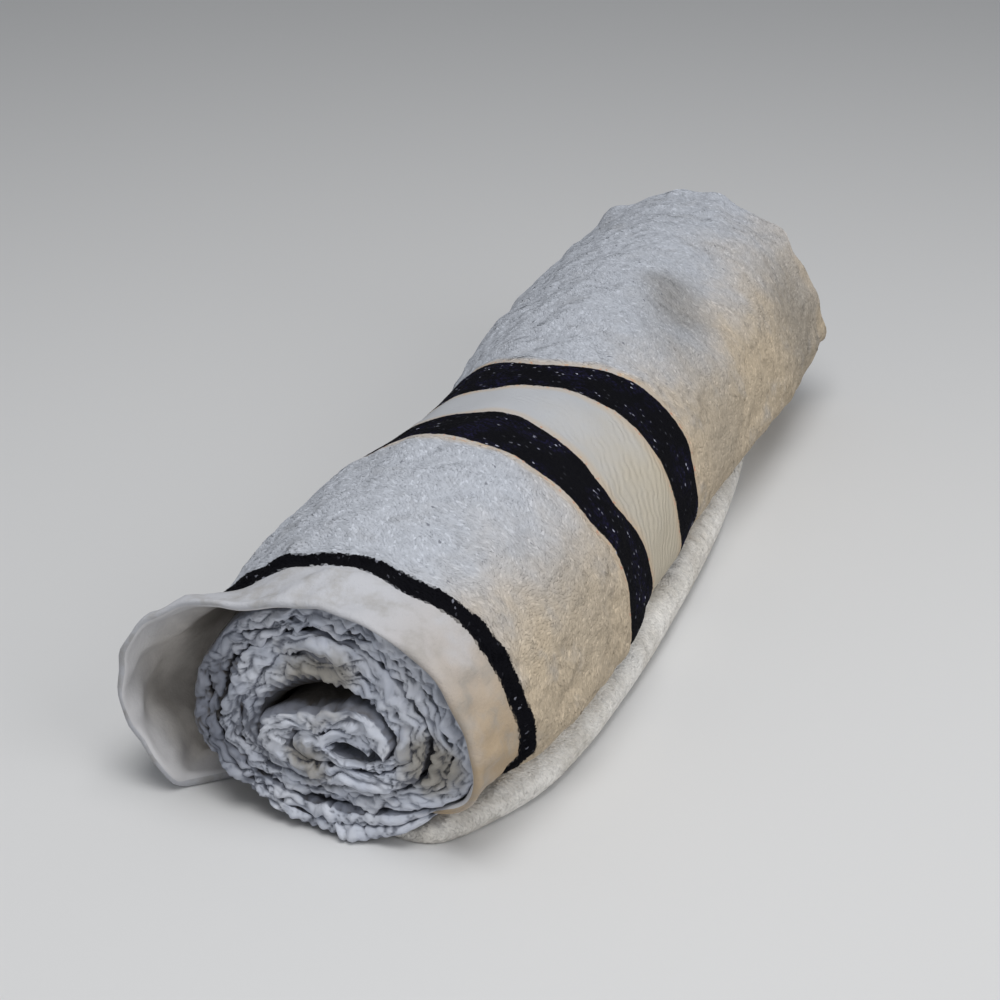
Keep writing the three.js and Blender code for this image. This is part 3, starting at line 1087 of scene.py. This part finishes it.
def striped_finish(tint):
    """The towel's right side: hem, terry, black stripes, tan lines and the flat band."""
    finish = Finish("striped_terry")
    mix, step, spots = finish.mix, finish.step, finish.spots
    around, along, yarn = finish.place()
    flat = finish.node("CombineXYZ", None, {"X": around, "Y": along})
    where = finish.where()
    edge = along + (spots(flat, 260.0) - 0.5) * (1.6 * MM)

    def strip(low, high, soft):
        return finish.between(edge, low * MM, high * MM, soft * MM)

    stain = spots(where, 17.0, 4.0)
    mottle = spots(where, 55.0, 3.0)
    grime = spots(where, 95.0, 5.0)
    speck = spots(flat, 420.0)
    # Cool white on the top, warm beige on the right side (the band follows it): partly the cloth's own
    # stained beige, partly a painted tint of cool top light and warm side light
    warm_side = 1 - step(around + (stain - 0.5) * 0.11, 0.085, 0.175)
    white = mix(warm_side, tint.cool, tint.warm)
    white = mix(step(mottle, 0.5, 0.75) * 0.4, white, tint.shade)
    # Smudges on the right side; the first three are painted shade in the dent, the rest are soiling
    for angle, at, radius, share in zip(*SMUDGES_AND_DENT_SHADE.values()):
        apart = finish.apart(flat, (np.interp(angle, PATH, AROUND) * MM, at * MM, 0))
        smudge_and_dent_shade = 1 - step(apart + (mottle - 0.5) * 0.012, 0.1 * radius * MM, radius * MM)
        white = mix(smudge_and_dent_shade * share, white, tint.smudge_and_dent_shade)

    lines, halo = 0.0, 0.0
    for low, high in LINES:
        lines = strip(low, high, 0.6) + lines
        halo = strip(low - HALO, high + HALO, 2.2) + halo
    hem_stripe = strip(*PILE_STRIPE, 0.4)
    black = strip(*STRIPE_FAR, 0.3) + (strip(*STRIPE_NEAR, 0.3) + hem_stripe)
    hem = 1 - step(edge, (HEM_WIDTH - 0.3) * MM, (HEM_WIDTH + 0.5) * MM)
    woven = strip(*BAND, 0.5)
    hemmed = mix(warm_side * step(stain, 0.3, 0.55), tint.hem, tint.hem_stain)
    hemmed = mix(step(grime, 0.42, 0.72) * 0.6, hemmed, tint.hem_grime)
    tan = mix(step(speck, 0.55, 0.7), tint.tan, tint.peach)
    blue = step(mottle, 0.45, 0.62) * step(yarn, 0.35, 0.9) * (1 - hem_stripe)
    lint = step(yarn, 0.972, 0.995) * (black - hem_stripe * 0.6)
    dash = (1 - step(yarn, 0.002, 0.0025)) * (1 - warm_side) * (1 - black)
    layers = (
        (hem, hemmed),
        (woven, mix(warm_side, tint.band, tint.band_warm)),
        (halo * 0.5, tint.tan),
        (lines * step(speck + grime, 0.97, 1.15), tan),
        (black, mix(blue, tint.black, tint.navy)),
        (lint * (0.1 + 0.9 * step(mottle, 0.44, 0.6)), tint.lint),
        (dash * 0.7, tint.dash),
    )
    colour = white
    for share, layer in layers:
        colour = mix(share, colour, layer)
    # Each loop's own random tone, plus painted highlights on the brightest loops
    bright = yarn * 0.22 + step(yarn, 0.88, 1.0) * 0.14 + 0.84
    colour = mix(1.0, colour, bright, "MULTIPLY")

    fibres = spots(where, 1500.0, 3.0) + hem * spots(where, 480.0, 3.0) * 1.6
    twill = around * (math.sin(TWILL_SLOPE) / TWILL) - along * (math.cos(TWILL_SLOPE) / TWILL)
    twill = (twill + (spots(flat, 85.0) - 0.5) * 2.2) * math.tau
    ridge = twill.math("SINE", twill, 0.0)
    ridge = ridge * woven * step(mottle + warm_side * 0.2, 0.45, 0.75)
    normal = finish.bump(fibres, 0.45, 0.6 * MM)
    return finish.cloth(colour, 0.92, finish.bump(ridge, 0.45, 0.45 * MM, normal))


def plain_finish(tint):
    """The towel's wrong side on the lip: plain cream terry."""
    finish = Finish("plain_terry")
    mix, step, spots = finish.mix, finish.step, finish.spots
    yarn = finish.place()[2]
    where = finish.where()
    mottle = spots(where, 40.0, 3.0)
    colour = mix(step(mottle, 0.35, 0.75), tint.lip, tint.lip_worn)
    colour = mix(1.0, colour, yarn * 0.18 + 0.88, "MULTIPLY")
    return finish.cloth(colour, 0.94, finish.bump(spots(where, 900.0, 3.0), 0.4, 0.6 * MM))


def lining_finish(tint):
    """The inside of the flap: smooth worn cloth, paler on its turned hem."""
    finish = Finish("flap_lining")
    mix, step, spots = finish.mix, finish.step, finish.spots
    along = finish.place()[1]
    where = finish.where()
    mottle = spots(where, 28.0, 4.0)
    pale = (1 - step(along + (mottle - 0.5) * 0.02, 0.006, 0.03)) * 0.7
    worn = mix(step(mottle, 0.3, 0.7), tint.lining, tint.lining_pale)
    colour = mix(pale, worn, tint.hem)
    return finish.cloth(colour, 0.9, finish.bump(spots(where, 700.0, 3.0), 0.35, 0.5 * MM))


def ruffle_finish(tint):
    """The ruffled edges of the wound turns: cool white, with painted shade in the creases and hollows,
    and brown places that are partly soiling and partly painted shade.
    """
    finish = Finish("ruffled_terry")
    mix, step, spots = finish.mix, finish.step, finish.spots
    where = finish.where()
    crease_shade = finish.attribute("crease_shade", "Fac")
    mottle = spots(where, 70.0, 3.0)
    colour = mix(step(mottle, 0.3, 0.7), tint.ruffle, tint.ruffle_shade)
    # Brown places, partly soiling and partly painted shade in the pockets and the gap on the right
    for spot, radius in SOILED_AND_SHADED:
        apart = finish.apart(where, spot) + (mottle - 0.5) * 0.02
        colour = mix((1 - step(apart, 0.3 * radius, radius)) * 0.8, colour, tint.soil_and_shade)
    # Painted shade: darker in the creases, between the plies, on the shaded sides and at the core,
    # darkest deep inside the turns
    colour = mix(step(crease_shade, 0.1, 0.9) * 0.75, colour, tint.crease_shade)
    colour = mix(step(crease_shade, 0.9, 2.2), colour, tint.hollow)
    return finish.cloth(colour, 0.92, finish.bump(spots(where, 420.0, 4.0), 0.4, 0.9 * MM))


# Settings


def srgb(red, green, blue):
    """A screen colour from 0 to 255 as Blender's linear colour."""
    shares = [value / 255 for value in (red, green, blue)]
    return tuple(s / 12.92 if s <= 0.04045 else ((s + 0.055) / 1.055) ** 2.4 for s in shares)


def tone(name, description, screen):
    colour = srgb(*screen)
    return bpy.props.FloatVectorProperty(
        name=name, description=description, default=colour, subtype="COLOR", size=3, min=0.0, max=1.0
    )


def number(name, description, value, **kind):
    return bpy.props.FloatProperty(name=name, description=description, default=value, **kind)


def measure(name, description, millimetres):
    return number(name, description, millimetres * MM, min=0.0, unit="LENGTH", subtype="DISTANCE")


def painted(colours):
    """The yarns' colours by name, each with a full alpha."""
    names = TowelColours.__annotations__
    return SimpleNamespace(**{name: (*getattr(colours, name), 1.0) for name in names})


class TowelSizes(bpy.types.PropertyGroup):
    """Sizes of the cloth's surface."""

    loop_length: measure("Loop length", "Length of one pile loop", 3.0)
    loop_width: measure("Loop width", "Width of one pile loop", 2.1)
    loop_height: measure("Loop height", "Thickness of one pile loop", 0.42)
    loop_spacing: measure("Loop spacing", "Distance between neighbouring pile loops", 1.25)
    lumps: measure("Lumps", "Height of the small lumps in the terry", 1.5)
    clumps: measure("Clumps", "Height that clumps of loops seem to have in the light", 1.5)
    crinkle: measure("Crinkle", "Height of the ruffles on the wound turns", 2.5)


class TowelColours(bpy.types.PropertyGroup):
    """Colours of the yarns."""

    cool: tone("Cool white", "Terry on the top of the roll", (184, 188, 196))
    warm: tone("Warm white", "Terry on the right side", (189, 174, 152))
    shade: tone("Worn terry", "Patches of worn terry", (164, 165, 168))
    hem: tone("Hem", "The flat hem", (192, 193, 198))
    hem_stain: tone("Stained hem", "The hem on the right side", (180, 160, 134))
    hem_grime: tone("Soiled hem", "Faint soiling on the hem", (160, 156, 150))
    band_warm: tone("Warm band", "The flat band on the right side", (190, 181, 163))
    band: tone("Band", "The flat band between the stripes", (184, 186, 190))
    black: tone("Black", "The stripes", (8, 8, 14))
    navy: tone("Navy", "Bluish yarns in the stripes", (28, 26, 54))
    tan: tone("Tan", "Lines along the stripes", (196, 178, 154))
    peach: tone("Peach", "Reddish yarns in those lines", (198, 142, 120))
    smudge_and_dent_shade: tone("Smudges", "Soiled places", (134, 131, 127))
    dash: tone("Dark yarns", "Single dark yarns in the terry", (112, 114, 124))
    lint: tone("Lint", "White flecks on the stripes", (170, 172, 186))
    lip: tone("Lip", "The cloth's edge on the floor", (234, 231, 226))
    lip_worn: tone("Worn lip", "Worn places on that edge", (212, 207, 199))
    lining: tone("Lining", "Inside of the flap", (176, 170, 164))
    lining_pale: tone("Pale lining", "Worn patches inside the flap", (236, 231, 225))
    ruffle: tone("Ruffles", "Ruffled edges of the turns", (210, 213, 221))
    ruffle_shade: tone("Ruffle shade", "Darker ruffles", (190, 195, 207))
    soil_and_shade: tone("Soiled ruffles", "Soiled places on the roll's end", (146, 139, 124))
    hollow: tone("Hollow", "Deep inside the turns", (96, 91, 86))
    crease_shade: tone("Creases", "Between the ruffles", (84, 88, 101))
    floor: tone("Floor", "The floor of the stage", (214, 214, 214))


class StageSettings(bpy.types.PropertyGroup):
    """The camera's place and the strength of the light."""

    azimuth: number("Azimuth", "Camera's way round the roll", math.radians(20.89), subtype="ANGLE")
    elevation: number("Elevation", "Camera's angle down", math.radians(27.42), subtype="ANGLE")
    stand: bpy.props.FloatVectorProperty(
        name="Camera",
        description="Where the camera stands",
        default=(0.2692, -0.7504, 0.4466),
        subtype="TRANSLATION",
        unit="LENGTH",
    )
    lens: number("Lens", "Focal length in millimetres on a 36 mm sensor", 67.18, unit="CAMERA")
    key: number("Key light", "Power of the large light", 13.0, unit="POWER")
    fill: number("Fill light", "Power of the side light", 8.5, unit="POWER")
    sky: number("Sky", "Strength of the even light all round", 0.29)


# Operators


def new_object(scene, data):
    """An object in the scene, with the name of its data."""
    made = bpy.data.objects.new(data.name, data)
    scene.collection.objects.link(made)
    return made


def keep_piece(context, mesh):
    """A mesh as a piece of the towel."""
    piece = new_object(context.scene, mesh)
    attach(piece, "root")
    return piece


class TOWEL_OT_pile(bpy.types.Operator):
    """Lay the pile loops over the terry, the stripes and the lip"""

    bl_idname = "towel.pile"
    bl_label = "Add Pile"

    def execute(self, context):
        sizes, tint = context.scene.towel_sizes, painted(context.scene.towel_colours)
        random = np.random.default_rng(SEED)
        striped, plain = striped_finish(tint), plain_finish(tint)
        grain = np.array([sizes.loop_length, sizes.loop_width, sizes.loop_height]) / MM
        spacing = sizes.loop_spacing / MM
        sheet = build_sheet(sizes)[0]
        middle = (TERRY_FAR[0] + TERRY_FAR[1]) / 2
        tufts = grain * np.array([0.85, 0.9, 2.2])
        wrap = (WRAP_START + 30, FOOT_START + 28)
        lip_top = (RUN_START + 6, LIP_END - 1)
        lip_foot = (RUN_END + 25, LIP_END - 1)
        terry = (wrap, spacing, 0, grain, 2, 1.5, 7, striped)
        stripe = (wrap, spacing * 0.9, 0, grain * 0.6, 2, 0.25, 7, striped)
        rows = (
            ("near_terry_pile", *TERRY_NEAR, *terry),
            ("middle_terry_pile", TERRY_FAR[0], middle, *terry),
            ("far_terry_pile", middle, TERRY_FAR[1] - 0.5, *terry),
            ("near_stripe_pile", *STRIPE_NEAR, *stripe),
            ("far_stripe_pile", *STRIPE_FAR, *stripe),
            ("hem_stripe_pile", *PILE_STRIPE, wrap, spacing * 0.8, 0, tufts, 12, 1.6, 1, striped),
            ("lip_pile", 3, LENGTH - 4, lip_top, spacing, 1, grain * 0.9, 2, 1.5, 7, plain),
            ("lip_foot_pile", 2, LENGTH - 4, lip_foot, spacing, 0, grain * 0.9, 2, 1.5, 7, plain),
        )
        for name, low, high, path, step, across, size, lean, swirl, calm, finish in rows:
            around, along = pile_places(low, high, *path, step, random)
            spots = (sheet, around, along, across)
            mesh = pile_mesh(name, spots, size, lean, swirl, calm, random, sizes)
            mesh.materials.append(finish)
            keep_piece(context, mesh)
        return {"FINISHED"}


class TOWEL_OT_cloth(bpy.types.Operator):
    """Wind the cloth: the outer sheet and the two plies of the turns within it"""

    bl_idname = "towel.cloth"
    bl_label = "Add Cloth"

    def execute(self, context):
        sizes, tint = context.scene.towel_sizes, painted(context.scene.towel_colours)
        strips = [build_sheet(sizes), build_ply(0, sizes), build_ply(1, sizes)]
        finishes = [
            bpy.data.materials["striped_terry"],
            bpy.data.materials["plain_terry"],
            lining_finish(tint),
            ruffle_finish(tint),
        ]
        cloth = keep_piece(context, cloth_mesh("towel_cloth", strips, finishes))
        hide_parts("towel")
        return {"FINISHED"}


class TOWEL_OT_stage(bpy.types.Operator):
    """Set the floor, the lights and the camera"""

    bl_idname = "towel.stage"
    bl_label = "Add Stage"

    def execute(self, context):
        scene, stage = context.scene, context.scene.towel_stage
        ground = bmesh.new()
        bmesh.ops.create_circle(ground, cap_ends=True, segments=96, radius=8.0)
        mesh = bpy.data.meshes.new("floor")
        ground.to_mesh(mesh)
        ground.free()
        floor = new_object(scene, mesh)
        finish = Finish("floor")
        colour = painted(scene.towel_colours).floor
        finish.set(Base_Color=colour, Roughness=0.9, Specular_IOR_Level=0.1)
        mesh.materials.append(finish.material)
        lamps = (
            ("key_light", (0.2, -0.45, 1.4), 0.8, stage.key),
            ("fill_light", (1.5, -0.6, 0.9), 1.2, stage.fill),
        )
        for name, spot, size, power in lamps:
            light = bpy.data.lights.new(name, "AREA")
            light.size = size
            light.energy = power
            lamp = new_object(scene, light)
            lamp.location = spot
            lamp.rotation_euler = (-Vector(spot)).to_track_quat("-Z", "Y").to_euler()
        world = bpy.data.worlds.new("studio")
        world.use_nodes = True
        sky = world.node_tree.nodes["Background"]
        sky.inputs["Color"].default_value = (0.93, 0.96, 1.0, 1.0)
        sky.inputs["Strength"].default_value = stage.sky
        scene.world = world
        lens = bpy.data.cameras.new("camera")
        lens.lens = stage.lens
        lens.sensor_width = 36
        lens.clip_start = 0.01
        camera = new_object(scene, lens)
        camera.location = stage.stand
        level = math.cos(stage.elevation)
        across, ahead = -math.sin(stage.azimuth) * level, math.cos(stage.azimuth) * level
        look = Vector((across, ahead, -math.sin(stage.elevation)))
        camera.rotation_euler = look.to_track_quat("-Z", "Y").to_euler()
        scene.camera = camera
        scene.view_settings.view_transform = "Standard"
        return {"FINISHED"}


class TOWEL_PT_panel(bpy.types.Panel):
    """Steps and settings of the towel"""

    bl_label = "Rolled Towel"
    bl_space_type = "VIEW_3D"
    bl_region_type = "UI"
    bl_category = "Towel"

    def draw(self, context):
        for step in OPERATORS:
            self.layout.operator(step.bl_idname)
        for group in (context.scene.towel_sizes, context.scene.towel_colours, context.scene.towel_stage):
            for name in group.__annotations__:
                self.layout.prop(group, name)


GROUPS = {"towel_sizes": TowelSizes, "towel_colours": TowelColours, "towel_stage": StageSettings}
OPERATORS = (TOWEL_OT_pile, TOWEL_OT_cloth, TOWEL_OT_stage)
CLASSES = (*GROUPS.values(), *OPERATORS, TOWEL_PT_panel)


def register():
    for cls in CLASSES:
        bpy.utils.register_class(cls)
    for name, group in GROUPS.items():
        setattr(bpy.types.Scene, name, bpy.props.PointerProperty(type=group))


def unregister():
    for name in GROUPS:
        delattr(bpy.types.Scene, name)
    for cls in reversed(CLASSES):
        bpy.utils.unregister_class(cls)


def main():
    register()
    bpy.ops.towel.pile()
    bpy.ops.towel.cloth()
    bpy.ops.towel.stage()


if __name__ == "__main__":
    main()
